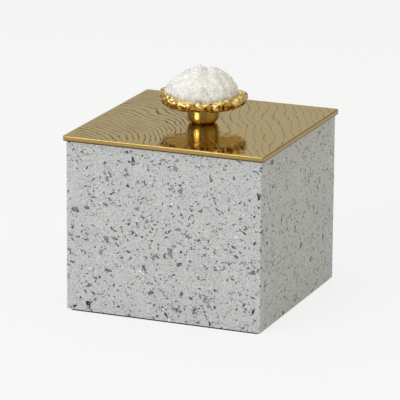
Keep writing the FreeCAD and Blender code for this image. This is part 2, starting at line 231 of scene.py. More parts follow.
# cell size, stretch along one axis, turn of that axis in degrees, share of the cells that
# are chips, darkest and lightest chip from 0, dark, to 1, light; sizes in mm
DARK_CHIPS = [
    (4.0, 1.2, (20, 35, 50), 0.024, 0.2, 1.2),
    (3.4, 1.4, (60, 25, 115), 0.030, -1.2, 0.5),
    (2.5, 1.5, (70, 10, 130), 0.065, -0.3, 0.9),
    (1.5, 2.6, (15, 30, 25), 0.075, -0.5, 0.6),
    (1.5, 2.6, (40, 20, 150), 0.075, -0.5, 0.6),
    (1.4, 2.4, (80, 40, 95), 0.075, -0.5, 0.7),
    (1.3, 1.2, (35, 80, 10), 0.100, -0.5, 0.8),
    (0.8, 1.4, (50, 20, 70), 0.220, 0.4, 1.3),
]
# painted highlights: white flecks for chips that catch the light, listed like the dark chips
PAINTED_WHITE_GLINTS = [
    (1.3, 2.6, (110, 40, 25), 0.010, 0.5, 1.0),
    (0.8, 1.2, (10, 75, 60), 0.030, 0.4, 1.0),
]
CHIP_GAP = 0.07
CHIP_EDGE = 0.03
CUT_EDGE = 0.01
# how fast a chip's tone climbs across it from its cut edge, a painted sheen of glass
CHIP_PAINTED_SHEEN = 3.0


def new_material(name):
    """A material, its node tree, its shader and a scale that turns metres into mm."""
    made = bpy.data.materials.new(name)
    made.use_nodes = True
    tree = made.node_tree
    place = add_node(tree, "ShaderNodeTexCoord")
    in_mm = add_node(
        tree, "ShaderNodeVectorMath", {0: place.outputs["Object"], "Scale": 1 / MM},
        operation="SCALE",
    )
    return made, tree, tree.nodes["Principled BSDF"], in_mm


def chip_scatter(tree, where, crowd, cell, stretch, turn, share, darkest, lightest):
    """Flat-cut chips, more of them where crowd is high: where they are, and their lightness, graded
    by a painted sheen.
    """
    laid = add_node(
        tree, "ShaderNodeMapping",
        {
            "Vector": where,
            "Rotation": [math.radians(angle) for angle in turn],
            "Scale": (cell * stretch, cell, cell),
        },
        vector_type="TEXTURE",
    )
    cells = add_node(tree, "ShaderNodeTexVoronoi", {"Vector": laid, "Scale": 1.0})
    edges = add_node(
        tree, "ShaderNodeTexVoronoi", {"Vector": laid, "Scale": 1.0}, feature="DISTANCE_TO_EDGE"
    )
    chance = add_node(tree, "ShaderNodeSeparateColor", {"Color": cells.outputs["Color"]})
    local_share = add_node(tree, "ShaderNodeMath", {0: crowd, 1: share}, operation="MULTIPLY")
    chosen = add_node(tree, "ShaderNodeMath", {0: chance, 1: local_share}, operation="LESS_THAN")
    inside = add_node(
        tree, "ShaderNodeMapRange",
        {0: edges, "From Min": CHIP_GAP, "From Max": CHIP_GAP + CHIP_EDGE},
    )
    across = add_node(
        tree, "ShaderNodeVectorMath", {0: laid, 1: cells.outputs["Position"]},
        operation="SUBTRACT",
    )
    cut_way = add_node(
        tree, "ShaderNodeVectorMath", {0: cells.outputs["Color"], 1: (0.5, 0.5, 0.5)},
        operation="SUBTRACT",
    )
    past_cut = add_node(
        tree, "ShaderNodeVectorMath", {0: across, 1: cut_way}, operation="DOT_PRODUCT"
    )
    kept_side = add_node(
        tree, "ShaderNodeMapRange",
        {"Value": past_cut.outputs["Value"], "From Min": 0.0, "From Max": CUT_EDGE},
    )
    inside = add_node(tree, "ShaderNodeMath", {0: inside, 1: kept_side}, operation="MULTIPLY")
    chip = add_node(tree, "ShaderNodeMath", {0: chosen, 1: inside}, operation="MULTIPLY")
    # the chip's random tone, plus a painted sheen that lightens it across from its cut edge
    tone = add_node(
        tree, "ShaderNodeMath",
        {0: past_cut.outputs["Value"], 1: CHIP_PAINTED_SHEEN, 2: chance.outputs["Green"]},
        operation="MULTIPLY_ADD",
    )
    shade = add_node(
        tree, "ShaderNodeMapRange", {0: tone, "To Min": darkest, "To Max": lightest}
    )
    return chip, shade


terrazzo, tree, shader, in_mm = new_material("honed_terrazzo")
ragged = add_node(
    tree, "ShaderNodeTexNoise", {"Vector": in_mm, "Scale": RAGGED_PER_MM, "Detail": 2.0}
)
ragged = add_node(
    tree, "ShaderNodeVectorMath", {0: ragged.outputs["Color"], 1: (0.5, 0.5, 0.5)},
    operation="SUBTRACT",
)
ragged = add_node(
    tree, "ShaderNodeVectorMath", {0: ragged, 1: [RAGGED_REACH] * 3, 2: in_mm},
    operation="MULTIPLY_ADD",
)
grain = add_node(
    tree, "ShaderNodeTexNoise",
    {"Vector": in_mm, "Scale": 1 / GRAIN_SIZE, "Detail": 2.0, "Roughness": 0.7},
)
grain = add_node(
    tree, "ShaderNodeMapRange",
    {0: grain, "From Min": 0.3, "From Max": 0.7, "To Min": GRAIN_DARK, "To Max": GRAIN_PALE},
)
crowd = add_node(tree, "ShaderNodeTexNoise", {"Vector": in_mm, "Scale": 1 / CROWD_SIZE})
crowd = add_node(
    tree, "ShaderNodeMapRange",
    {0: crowd, "From Min": 0.35, "From Max": 0.65, "To Min": CROWD_FEW, "To Max": CROWD_MANY},
)
cloud = add_node(tree, "ShaderNodeTexNoise", {"Vector": in_mm, "Scale": 1 / CLOUD_SIZE})
cloud = add_node(
    tree, "ShaderNodeMapRange",
    {0: cloud, "From Min": 0.3, "From Max": 0.7, "To Min": CLOUD_DARK, "To Max": CLOUD_PALE},
)
lightness = add_node(tree, "ShaderNodeMath", {0: grain, 1: cloud}, operation="MULTIPLY")
lightness = add_node(
    tree, "ShaderNodeCombineColor", {0: lightness, 1: lightness, 2: lightness}
)
face = add_node(
    tree, "ShaderNodeMix", {"Factor": 1.0, "A": linear(SLAB_GREY), "B": lightness},
    data_type="RGBA", blend_type="MULTIPLY",
)
# the dark chips, then the white flecks of painted highlight
for chips, dark, light in (
    (DARK_CHIPS, CHIP_DARK, CHIP_LIGHT), (PAINTED_WHITE_GLINTS, SLAB_GREY, PAINTED_GLINT_WHITE)
):
    for layer in chips:
        chip, shade = chip_scatter(tree, ragged, crowd, *layer)
        tone = add_node(
            tree, "ShaderNodeMix", {"Factor": shade, "A": linear(dark), "B": linear(light)},
            data_type="RGBA",
        )
        face = add_node(
            tree, "ShaderNodeMix", {"Factor": chip, "A": face, "B": tone}, data_type="RGBA"
        )
plug(shader, {"Base Color": face, "Roughness": 0.38, "IOR": 1.5})


def finish_node(name, material):
    """Gives a CAD node its finish in place of the plain one that it came with."""
    data = frame["nodes"][name].data
    data.materials.clear()
    data.materials.append(material)


for name in ("wall_front", "wall_right", "wall_back", "wall_left", "floor_slab"):
    finish_node(name, terrazzo)


# ---------------------------------------------------------------- the pad under the box
# Black rubber sheet, die cut and glued under the slabs.  Its skin is matt, with the pebble of
# the mould cloth.  The pebble is about 0.3 mm, too fine to show, and is drawn coarser.

RUBBER_BLACK = "#0B0B0B"
RUBBER_DUSTY = "#1A1919"
PEBBLE_SIZE = 0.8
PEBBLE_DEPTH = 0.1
DUST_PER_MM = 0.2

rubber, tree, shader, in_mm = new_material("black_rubber_sheet")
pebble = add_node(tree, "ShaderNodeTexVoronoi", {"Vector": in_mm, "Scale": 1 / PEBBLE_SIZE})
dent = add_node(
    tree, "ShaderNodeBump",
    {"Strength": 0.4, "Distance": PEBBLE_DEPTH * MM, "Height": pebble},
)
dust = add_node(
    tree, "ShaderNodeTexNoise", {"Vector": in_mm, "Scale": DUST_PER_MM, "Detail": 4.0}
)
rubber_tone = add_node(
    tree, "ShaderNodeMix", {"Factor": dust, "A": linear(RUBBER_BLACK), "B": linear(RUBBER_DUSTY)},
    data_type="RGBA",
)
plug(shader, {"Base Color": rubber_tone, "Roughness": 0.7, "Normal": dent})
finish_node("base_pad", rubber)


# ---------------------------------------------------------------- the lid plate
# Brass plate, 3 mm thick, etched on top with a ripple of fine broken lines and polished.  The
# top mirrors the room, and the lines, low arcs on the left and steep zigzags on the right, are
# dull and brown.  The milled sides are duller, and their tone is painted darker than the top's
# brass as painted shade, darkest in a painted shade line at the foot.

BRASS = "#D8BC7C"
# the milled sides' brass, painted darker than the top's as painted shade
BRASS_SIDE_PAINTED_SHADE = "#A78D55"
# the etched lines' brown, also painted along the sides' foot as a painted shade line
BRASS_ETCHED_AND_SHADE = "#3E3118"
BRASS_GLANCE = "#E7E7E1"
TOP_ROUGHNESS, SIDE_ROUGHNESS, LINE_ROUGHNESS = 0.06, 0.28, 0.24
LINE_BARE = 0.4
# height of a normal, from -1 to 1, past which a face counts as the flat top
FACING = 0.98
# sizes in mm
LEFT_SPACING, LEFT_WIDTH = 3.8, 0.85
RIGHT_SPACING, RIGHT_WIDTH = 5.2, 0.55
# the arcs turn where x is -LEFT_TOP - LEFT_DRIFT * y and bend by LEFT_BEND, and the zigzags
# lean by RIGHT_LEAN of y
LEFT_DRIFT, LEFT_TOP = -0.25, 66.0
LEFT_BEND = 0.0087
RIGHT_LEAN = 0.47
RIGHT_FAINTER = 0.75
MEETING_WIDTH = 10.0
BREAK_SIZE = 9
BREAK_FAINT, BREAK_STRONG = 0.45, 0.95
# mm above the plate's foot where the painted shade line is full and where it is gone
FOOT_SHADE_FULL, FOOT_SHADE_GONE = 0.3, 0.8
SWELL_SIZE, SWELL_DEPTH = 8, 0.10
ETCH_DEPTH = 0.04

etched_brass, tree, shader, in_mm = new_material("etched_polished_brass")


def warped(tree, where, size, reach, detail=0.0):
    """The place moved about by noise of a size, up to half the reach, both in mm."""
    drift = add_node(
        tree, "ShaderNodeTexNoise", {"Vector": where, "Scale": 1 / size, "Detail": detail}
    )
    drift = add_node(
        tree, "ShaderNodeVectorMath", {0: drift.outputs["Color"], 1: (0.5, 0.5, 0.5)},
        operation="SUBTRACT",
    )
    return add_node(
        tree, "ShaderNodeVectorMath", {0: drift, 1: (reach, reach, 0), 2: where},
        operation="MULTIPLY_ADD",
    )


def ripple(tree, travel, spacing, width):
    """Soft lines at a spacing of the distance travelled, 1 on a line and 0 off it."""
    count = add_node(tree, "ShaderNodeMath", {0: travel, 1: spacing}, operation="DIVIDE")
    number = add_node(tree, "ShaderNodeMath", {0: count}, operation="ROUND")
    off_line = add_node(tree, "ShaderNodeMath", {0: count, 1: number}, operation="SUBTRACT")
    off_line = add_node(tree, "ShaderNodeMath", {0: off_line}, operation="ABSOLUTE")
    return add_node(
        tree, "ShaderNodeMapRange",
        {0: off_line, "From Min": 0.1 * width / spacing, "From Max": 0.9 * width / spacing,
         "To Min": 1.0, "To Max": 0.0},
        interpolation_type="SMOOTHSTEP",
    )


left_place = warped(tree, warped(tree, in_mm, 26, 12), 5.0, 3.0, 2.0)
left_place = add_node(tree, "ShaderNodeSeparateXYZ", {0: left_place})
left_start = add_node(
    tree, "ShaderNodeMath", {0: left_place.outputs["Y"], 1: LEFT_DRIFT, 2: LEFT_TOP},
    operation="MULTIPLY_ADD",
)
left_run = add_node(
    tree, "ShaderNodeMath", {0: left_place.outputs["X"], 1: left_start}, operation="ADD"
)
left_run = add_node(tree, "ShaderNodeMath", {0: left_run, 1: 2.0}, operation="POWER")
left_travel = add_node(
    tree, "ShaderNodeMath", {0: left_run, 1: LEFT_BEND, 2: left_place.outputs["Y"]},
    operation="MULTIPLY_ADD",
)
left_lines = ripple(tree, left_travel, LEFT_SPACING, LEFT_WIDTH)

right_place = warped(tree, warped(tree, in_mm, 32, 16), 7.0, 4.5, 1.0)
right_place = add_node(tree, "ShaderNodeSeparateXYZ", {0: right_place})
right_travel = add_node(
    tree, "ShaderNodeMath",
    {0: right_place.outputs["Y"], 1: RIGHT_LEAN, 2: right_place.outputs["X"]},
    operation="MULTIPLY_ADD",
)
right_lines = ripple(tree, right_travel, RIGHT_SPACING, RIGHT_WIDTH)

meeting = add_node(tree, "ShaderNodeSeparateXYZ", {0: warped(tree, in_mm, 12, 30, 1.0)})
to_right = add_node(
    tree, "ShaderNodeMapRange", {0: meeting, "From Min": 0.0, "From Max": MEETING_WIDTH}
)
line = add_node(
    tree, "ShaderNodeMix", {"Factor": to_right, "A": left_lines, "B": right_lines},
    data_type="FLOAT",
)
breaks = add_node(
    tree, "ShaderNodeTexNoise", {"Vector": in_mm, "Scale": 1 / BREAK_SIZE, "Detail": 2.0}
)
kept = add_node(
    tree, "ShaderNodeMapRange",
    {0: breaks, "From Min": 0.36, "From Max": 0.6, "To Min": BREAK_FAINT, "To Max": BREAK_STRONG},
)
upward = add_node(tree, "ShaderNodeNewGeometry")
upward = add_node(tree, "ShaderNodeSeparateXYZ", {0: upward.outputs["Normal"]})
on_top = add_node(
    tree, "ShaderNodeMath", {0: upward.outputs["Z"], 1: FACING}, operation="GREATER_THAN"
)
underneath = add_node(
    tree, "ShaderNodeMath", {0: upward.outputs["Z"], 1: -FACING}, operation="LESS_THAN"
)
fainter = add_node(
    tree, "ShaderNodeMapRange", {0: to_right, "To Min": 1.0, "To Max": RIGHT_FAINTER}
)
line = add_node(tree, "ShaderNodeMath", {0: line, 1: fainter}, operation="MULTIPLY")
line = add_node(tree, "ShaderNodeMath", {0: line, 1: kept}, operation="MULTIPLY")
line = add_node(tree, "ShaderNodeMath", {0: line, 1: on_top}, operation="MULTIPLY")
plate_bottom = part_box("lid_plate")[0].z / MM
# painted shade: a dark line along the foot of the sides, fading out upwards; the underside keeps
# the side tone
above_foot_shade = add_node(tree, "ShaderNodeSeparateXYZ", {0: in_mm})
above_foot_shade = add_node(
    tree, "ShaderNodeMapRange",
    {0: above_foot_shade.outputs["Z"], "From Min": plate_bottom + FOOT_SHADE_FULL,
     "From Max": plate_bottom + FOOT_SHADE_GONE},
)
above_foot_shade = add_node(tree, "ShaderNodeMath", {0: above_foot_shade, 1: underneath}, operation="MAXIMUM")
painted_shade_side_tone = add_node(
    tree, "ShaderNodeMix",
    {"Factor": above_foot_shade, "A": linear(BRASS_ETCHED_AND_SHADE), "B": linear(BRASS_SIDE_PAINTED_SHADE)},
    data_type="RGBA",
)
plate_tone = add_node(
    tree, "ShaderNodeMix", {"Factor": on_top, "A": painted_shade_side_tone, "B": linear(BRASS)},
    data_type="RGBA",
)
plate_tone = add_node(
    tree, "ShaderNodeMix", {"Factor": line, "A": plate_tone, "B": linear(BRASS_ETCHED_AND_SHADE)},
    data_type="RGBA",
)
plate_roughness = add_node(
    tree, "ShaderNodeMapRange", {0: on_top, "To Min": SIDE_ROUGHNESS, "To Max": TOP_ROUGHNESS}
)
plate_roughness = add_node(
    tree, "ShaderNodeMath", {0: line, 1: LINE_ROUGHNESS, 2: plate_roughness},
    operation="MULTIPLY_ADD",
)
swell = add_node(tree, "ShaderNodeTexNoise", {"Vector": in_mm, "Scale": 1 / SWELL_SIZE})
swell = add_node(
    tree, "ShaderNodeBump", {"Strength": on_top, "Distance": SWELL_DEPTH * MM, "Height": swell}
)
groove = add_node(
    tree, "ShaderNodeBump",
    {"Strength": 1.0, "Distance": ETCH_DEPTH * MM, "Height": line, "Normal": swell}, invert=True,
)
bare = add_node(tree, "ShaderNodeMapRange", {0: line, "To Min": 1.0, "To Max": LINE_BARE})
plug(shader, {
    "Base Color": plate_tone, "Metallic": bare, "Roughness": plate_roughness, "Normal": groove,
    "Specular IOR Level": 0.0, "Specular Tint": linear(BRASS_GLANCE),
})
finish_node("lid_plate", etched_brass)


# ---------------------------------------------------------------- strips under the plate
# Self-adhesive strips of the same black rubber, on which the lid lands.  They lie just inside
# the plate's edge and show as a thin dark line.

for name in ("bumper_front", "bumper_right", "bumper_back", "bumper_left"):
    finish_node(name, rubber)


# ---------------------------------------------------------------- the board in the mouth
# Fibreboard, routed, sprayed matt black and glued under the plate.  It keeps the lid in place,
# and the spray leaves a slight orange peel.

PAINT_BLACK = "#1D1B1A"
PEEL_SIZE, PEEL_DEPTH = 1.5, 0.05

board_paint, tree, shader, in_mm = new_material("sprayed_fibreboard")
peel = add_node(
    tree, "ShaderNodeTexNoise", {"Vector": in_mm, "Scale": 1 / PEEL_SIZE, "Detail": 1.0}
)
peel = add_node(
    tree, "ShaderNodeBump", {"Strength": 0.3, "Distance": PEEL_DEPTH * MM, "Height": peel}
)
plug(shader, {"Base Color": linear(PAINT_BLACK), "Roughness": 0.55, "Normal": peel})
finish_node("locating_board", board_paint)


# ---------------------------------------------------------------- the felt under the board
# Black wool felt, 0.8 mm thick, die cut with round corners and glued under the board.  Its
# nap hides its cut edge, and it lies a little uneven over the glue.  A wool fibre is about
# 0.03 mm, too fine to show, so the nap is drawn as coarse as small tufts.

FELT_BLACK = "#0E0E10"
FELT_GREY = "#2A2A2D"
NAP_SIZE, NAP_DEPTH = 0.5, 0.3
FELT_SIDE = 99.6
FELT_CORNER = 3
FELT_THICKNESS = 0.8
FELT_EDGE = 0.25
FELT_STEPS = 72
GLUE_LUMP = 0.06
GLUE_LUMP_SIZE = 9

bpy.ops.object.select_all(action="DESELECT")
bpy.ops.mesh.primitive_grid_add(
    x_subdivisions=FELT_STEPS, y_subdivisions=FELT_STEPS, size=FELT_SIDE * MM,
    location=(0, 0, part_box("locating_board")[0].z),
)
felt = bpy.context.object
felt.name = "felt_sheet"
bpy.ops.object.transform_apply(location=True, rotation=True, scale=True)
corner_start = FELT_SIDE / 2 - FELT_CORNER
for vertex in felt.data.vertices:
    past = Vector((abs(vertex.co.x), abs(vertex.co.y))) / MM
    past -= Vector((corner_start, corner_start))
    if min(past) > 0:
        past *= max(past) / past.length
        vertex.co.x = math.copysign((corner_start + past.x) * MM, vertex.co.x)
        vertex.co.y = math.copysign((corner_start + past.y) * MM, vertex.co.y)
cut = felt.modifiers.new("sheet_thickness", "SOLIDIFY")
cut.thickness = FELT_THICKNESS * MM
cut.offset = -1
bpy.ops.object.modifier_apply(modifier=cut.name)
worn = felt.modifiers.new("soft_edge", "BEVEL")
worn.width = FELT_EDGE * MM
worn.segments = 2
worn.limit_method = "ANGLE"
worn.angle_limit = math.radians(50)
bpy.ops.object.modifier_apply(modifier=worn.name)
lowest = min(vertex.co.z for vertex in felt.data.vertices)
for vertex in felt.data.vertices:
    if vertex.co.z < lowest + 0.4 * FELT_THICKNESS * MM:
        lump = 0.5 + noise.noise(vertex.co / (GLUE_LUMP_SIZE * MM))
        vertex.co.z += GLUE_LUMP * MM * lump
felt.data.update()
bpy.ops.object.shade_smooth_by_angle(angle=math.radians(40))

wool_felt, tree, shader, in_mm = new_material("wool_felt")
nap = add_node(
    tree, "ShaderNodeTexNoise", {"Vector": in_mm, "Scale": 1 / NAP_SIZE, "Detail": 3.0}
)
nap_tone = add_node(
    tree, "ShaderNodeMix", {"Factor": nap, "A": linear(FELT_BLACK), "B": linear(FELT_GREY)},
    data_type="RGBA",
)
nap = add_node(
    tree, "ShaderNodeBump", {"Strength": 0.8, "Distance": NAP_DEPTH * MM, "Height": nap}
)
plug(shader, {
    "Base Color": nap_tone, "Roughness": 0.95, "Normal": nap, "Sheen Weight": 0.4,
    "Sheen Roughness": 0.5,
})
felt.data.materials.clear()
felt.data.materials.append(wool_felt)
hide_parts("board_felt")
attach(felt, "lid")


# ---------------------------------------------------------------- the knob's collar
# Brass rod, turned and left satin, held to the plate by the stud through it.  The lathe's fine
# rings stretch its highlight upwards.  They are about 0.05 mm apart, too fine to show, and are
# drawn 0.4 mm apart.

COLLAR_BRASS = "#CBB06A"
# distance between a wave texture's waves at a scale of 1
WAVES = 2 * math.pi / 20
RING_SCALE, RING_DEPTH = 1 / 1.2, 0.003

turned_brass, tree, shader, in_mm = new_material("satin_turned_brass")
rings = add_node(
    tree, "ShaderNodeTexWave",
    {"Vector": in_mm, "Scale": RING_SCALE, "Distortion": 0.4, "Detail": 2.0},
    bands_direction="Z",
)
rings = add_node(
    tree, "ShaderNodeBump", {"Strength": 0.3, "Distance": RING_DEPTH * MM, "Height": rings}
)
plug(shader, {
    "Base Color": linear(COLLAR_BRASS), "Metallic": 1.0, "Roughness": 0.3, "Anisotropic": 0.7,
    "Anisotropic Rotation": 0.25, "Normal": rings,
})
finish_node("knob_collar", turned_brass)


# ---------------------------------------------------------------- stud, washer and nut
# Zinc-plated steel: the stud is cemented into the stone, and the nut draws it down from under
# the plate.  The plating is bright and slightly clouded, and the thread's pitch is 0.8 mm.

ZINC = "#C3C5C8"
ZINC_BRIGHT, ZINC_CLOUDED = 0.25, 0.4
ZINC_CLOUD_SIZE = 3
THREAD_PITCH, THREAD_DEPTH = 0.8, 0.3

zinc, tree, shader, in_mm = new_material("zinc_plated_steel")
thread = add_node(
    tree, "ShaderNodeTexWave", {"Vector": in_mm, "Scale": WAVES / THREAD_PITCH},
    bands_direction="Z",
)
thread = add_node(
    tree, "ShaderNodeBump", {"Strength": 0.8, "Distance": THREAD_DEPTH * MM, "Height": thread}
)
clouded = add_node(
    tree, "ShaderNodeTexNoise", {"Vector": in_mm, "Scale": 1 / ZINC_CLOUD_SIZE, "Detail": 2.0}
)
clouded = add_node(
    tree, "ShaderNodeMapRange", {0: clouded, "To Min": ZINC_BRIGHT, "To Max": ZINC_CLOUDED}
)
plug(shader, {
    "Base Color": linear(ZINC), "Metallic": 1.0, "Roughness": clouded, "Normal": thread,
})
for name in ("knob_stud", "knob_washer", "knob_nut"):
    finish_node(name, zinc)


# ---------------------------------------------------------------- the gilt rim
# A skirt of cast resin round the foot of the crystals, laid with crumpled gold leaf.  The leaf
# catches the light in specks and lets the brown bole show in patches, with more bole painted
# towards the skirt's foot as painted shade.  It is smoother underneath, where it lies flat on
# the collar, and painted paler there, partly as painted light.

LEAF_GOLD = "#ECCC82"
BOLE_BROWN = "#7A4E17"
# the underside's tone, paler partly for the flatter leaf and partly as painted light
LEAF_PALE_PAINTED_LIGHT = "#FDE9AE"
# sizes in mm; a crease of the leaf is finer than 0.5 mm, too fine to show, and the facets are
# drawn coarser
CREASE_SIZE, FINE_CREASE_SIZE = 2.0, 0.9
FINE_CREASE_SHARE = 0.55
CREASE_TILT, FLAT_TILT = 0.95, 0.04
CREASED_ROUGHNESS, FLAT_ROUGHNESS = 0.3, 0.1
WEAR_SIZE = 2.2
# shifts of the leaf's share: more bole at the skirt's foot is painted shade, less at its edge
FOOT_PAINTED_SHADE, EDGE_PAINTED_SHADE = -0.20, 0.10
KNOB_TURN = math.radians(22)
RIM_LENGTH = 50.6
RIM_BREADTH = 44
RIM_RISE = 5.0
RIM_END_LIFT = 2.9
RIM_RIGHT_DROP = 1.6
RIM_WAVE = 0.5
GILT_FLAT = 22
GILT_SKIN = 1.4
GILT_LIP = 3
STUD_HOLE = 2.65
CRYSTAL_SHIFT = 1.3
COLLAR_RADIUS = 9.35
SEAT_MARGIN = 0.5
# height and size in mm of the folds that run down the skirt and of the dents all over it
FOLD_HEIGHT, FOLD_SIZE = 1.1, 2.3
DENT_HEIGHT, DENT_SIZE = 0.45, 2.1
FOLDS_ROUND = 8.5
UNDER_SHARE = 0.1
stone_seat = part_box("knob_collar")[1].z
to_place = (
    Matrix.Translation((0, 0, stone_seat)) @ Matrix.Rotation(KNOB_TURN, 4, "Z")
    @ Matrix.Scale(MM, 4)
)


def rim_radius(turn, inset=0.0):
    """Plan radius of the wavy rim at an angle, taken in by inset, in mm."""
    long_half, short_half = RIM_LENGTH / 2 - inset, RIM_BREADTH / 2 - inset
    oval = long_half * short_half / math.hypot(
        short_half * math.cos(turn), long_half * math.sin(turn)
    )
    return oval + RIM_WAVE / 2 * (math.sin(5 * turn + 0.6) + 0.6 * math.sin(11 * turn + 2.1))


def rim_height(turn):
    """Height of the rim's edge above the collar at an angle, in mm."""
    waves = 0.6 * math.sin(7 * turn + 1.3) + 0.4 * math.sin(13 * turn)
    lift = RIM_END_LIFT * math.cos(turn) ** 2 - RIM_RIGHT_DROP * max(0, math.cos(turn)) ** 3
    return RIM_RISE + lift + RIM_WAVE * waves


def along(points, share):
    """The point at a share, from 0 to 1, of the way along a list of points."""
    spot = share * (len(points) - 1)
    first = min(int(spot), len(points) - 2)
    return points[first].lerp(points[first + 1], spot - first)


def crumple(point, size):
    """Sharp creases with flats between them, from 0 to about 1, at a size in mm."""
    return 1 - 2 * abs(noise.noise(point / size))


ROUND_STEPS = 260
UNDER_STEPS, OUTER_STEPS, INNER_STEPS = 20, 24, 6
steps = UNDER_STEPS + OUTER_STEPS + INNER_STEPS

bpy.ops.object.select_all(action="DESELECT")
bpy.ops.mesh.primitive_torus_add(
    major_segments=ROUND_STEPS, minor_segments=steps, major_radius=2, minor_radius=1
)
gilt = bpy.context.object
gilt.name = "gilt_leaf_rim"
for vertex in gilt.data.vertices:
    column, step = divmod(vertex.index, steps)
    turn = 2 * math.pi * column / ROUND_STEPS
    edge, lip_edge, height = rim_radius(turn), rim_radius(turn, GILT_LIP), rim_height(turn)
    flat = edge * GILT_FLAT / (RIM_LENGTH / 2)
    out = Vector((math.cos(turn), math.sin(turn), 0))
    up = Vector((0, 0, 1))
    shift = Vector((-CRYSTAL_SHIFT, 0, 0))
    # the skirt's section, from the stud's hole out along the foot, up to the lip and back
    under = [out * STUD_HOLE, out * flat]
    outer = [
        out * flat,
        out * (0.5 * flat + 0.52 * edge) + up * 0.18 * height,
        out * edge + up * 0.6 * height,
        out * (edge - 0.1 * GILT_LIP) + up * 0.92 * height,
        out * (edge - 0.45 * GILT_LIP) + up * 1.04 * height,
        out * (lip_edge - 0.8) + shift + up * height,
    ]
    inner = [
        outer[-1],
        out * (0.8 * flat) + up * GILT_SKIN,
        out * STUD_HOLE + up * GILT_SKIN,
        under[0],
    ]
    if step < UNDER_STEPS:
        point = along(under, step / UNDER_STEPS)
        lean = -up
    elif step < UNDER_STEPS + OUTER_STEPS:
        share = (step - UNDER_STEPS) / OUTER_STEPS
        point = along(outer, share)
        lean = out * math.cos(1.9 * share - 0.5) + up * math.sin(2.4 * share - 0.7)
        lean.normalize()
    else:
        point = along(inner, (step - UNDER_STEPS - OUTER_STEPS) / INNER_STEPS)
        lean = Vector()
    past_collar = min(1, max(0, Vector(point.xy).length - COLLAR_RADIUS - SEAT_MARGIN))
    # a fold changes fast round the skirt and slowly up it
    fold = Vector((turn * FOLDS_ROUND, point.z * 0.45, edge * 0.2))
    push = FOLD_HEIGHT * (crumple(fold, FOLD_SIZE) - 0.5)
    push += DENT_HEIGHT * (crumple(point + up * 40, DENT_SIZE) - 0.5)
    if step < UNDER_STEPS:
        push *= UNDER_SHARE
    vertex.co = to_place @ (point + lean * push * past_collar)
gilt.data.update()
bpy.ops.object.mode_set(mode="EDIT")
bpy.ops.mesh.select_all(action="SELECT")
bpy.ops.mesh.normals_make_consistent(inside=False)
bpy.ops.object.mode_set(mode="OBJECT")
bpy.ops.object.shade_smooth_by_angle(angle=math.radians(40))

gold_leaf, tree, shader, in_mm = new_material("crumpled_gold_leaf")
leaf_wear_and_shade = add_node(
    tree, "ShaderNodeTexNoise", {"Vector": in_mm, "Scale": 1 / WEAR_SIZE, "Detail": 3.0}
)
# painted shade: the skirt is drawn darker towards its foot, with more bole showing
painted_shade_up_skirt = add_node(tree, "ShaderNodeSeparateXYZ", {0: in_mm})
painted_shade_up_skirt = add_node(
    tree, "ShaderNodeMapRange",
    {0: painted_shade_up_skirt.outputs["Z"], "From Min": stone_seat / MM, "From Max": stone_seat / MM + RIM_RISE,
     "To Min": FOOT_PAINTED_SHADE, "To Max": EDGE_PAINTED_SHADE},
)
leaf_wear_and_shade = add_node(tree, "ShaderNodeMath", {0: leaf_wear_and_shade, 1: painted_shade_up_skirt}, operation="ADD")
leaf_wear_and_shade = add_node(
    tree, "ShaderNodeMapRange", {0: leaf_wear_and_shade, "From Min": 0.38, "From Max": 0.54}
)
outward = add_node(tree, "ShaderNodeNewGeometry")
below = add_node(tree, "ShaderNodeSeparateXYZ", {0: outward.outputs["Normal"]})
below = add_node(
    tree, "ShaderNodeMapRange",
    {0: below.outputs["Z"], "From Min": -0.5, "From Max": -0.9},
)
leaf_tone = add_node(
    tree, "ShaderNodeMix",
    {"Factor": leaf_wear_and_shade, "A": linear(BOLE_BROWN), "B": linear(LEAF_GOLD)},
    data_type="RGBA",
)
# paler underneath: the flat leaf, and painted light that brightens the underside mirrored in the
# lid
leaf_tone = add_node(
    tree, "ShaderNodeMix", {"Factor": below, "A": leaf_tone, "B": linear(LEAF_PALE_PAINTED_LIGHT)},
    data_type="RGBA",
)
creased = warped(tree, in_mm, 2.5, 2.5)
facet = add_node(tree, "ShaderNodeTexVoronoi", {"Vector": creased, "Scale": 1 / CREASE_SIZE})
fine_facet = add_node(
    tree, "ShaderNodeTexVoronoi", {"Vector": creased, "Scale": 1 / FINE_CREASE_SIZE}
)
facet = add_node(
    tree, "ShaderNodeMix",
    {"Factor": FINE_CREASE_SHARE, "A": facet.outputs["Color"], "B": fine_facet.outputs["Color"]},
    data_type="RGBA",
)
facet = add_node(
    tree, "ShaderNodeVectorMath", {0: facet, 1: (0.5, 0.5, 0.5)}, operation="SUBTRACT"
)
tilt = add_node(
    tree, "ShaderNodeMapRange", {0: below, "To Min": CREASE_TILT, "To Max": FLAT_TILT}
)
leaf_roughness = add_node(
    tree, "ShaderNodeMapRange", {0: below, "To Min": CREASED_ROUGHNESS, "To Max": FLAT_ROUGHNESS}
)
facet = add_node(tree, "ShaderNodeVectorMath", {0: facet, "Scale": tilt}, operation="SCALE")
outward = add_node(
    tree, "ShaderNodeVectorMath", {0: facet, 1: outward.outputs["Normal"]}, operation="ADD"
)
outward = add_node(tree, "ShaderNodeVectorMath", {0: outward}, operation="NORMALIZE")
plug(shader, {
    "Base Color": leaf_tone, "Metallic": 1.0, "Roughness": leaf_roughness, "Normal": outward,
})
gilt.data.materials.clear()
gilt.data.materials.append(gold_leaf)
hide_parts("gilt_rim")
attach(gilt, "lid")


# ---------------------------------------------------------------- the crystals
# A piece of quartz druse set into the skirt: a lumpy mass grown over with small six-sided
# points, worn soft.  It is milky and lets light deep in, so it has hardly any shadows, and
# its facets glint.

QUARTZ_CLOUDY = "#F5F5F3"
QUARTZ_CLEARER = "#DDDCD4"
MILK_SIZE = 6
LIGHT_REACH = 16.0
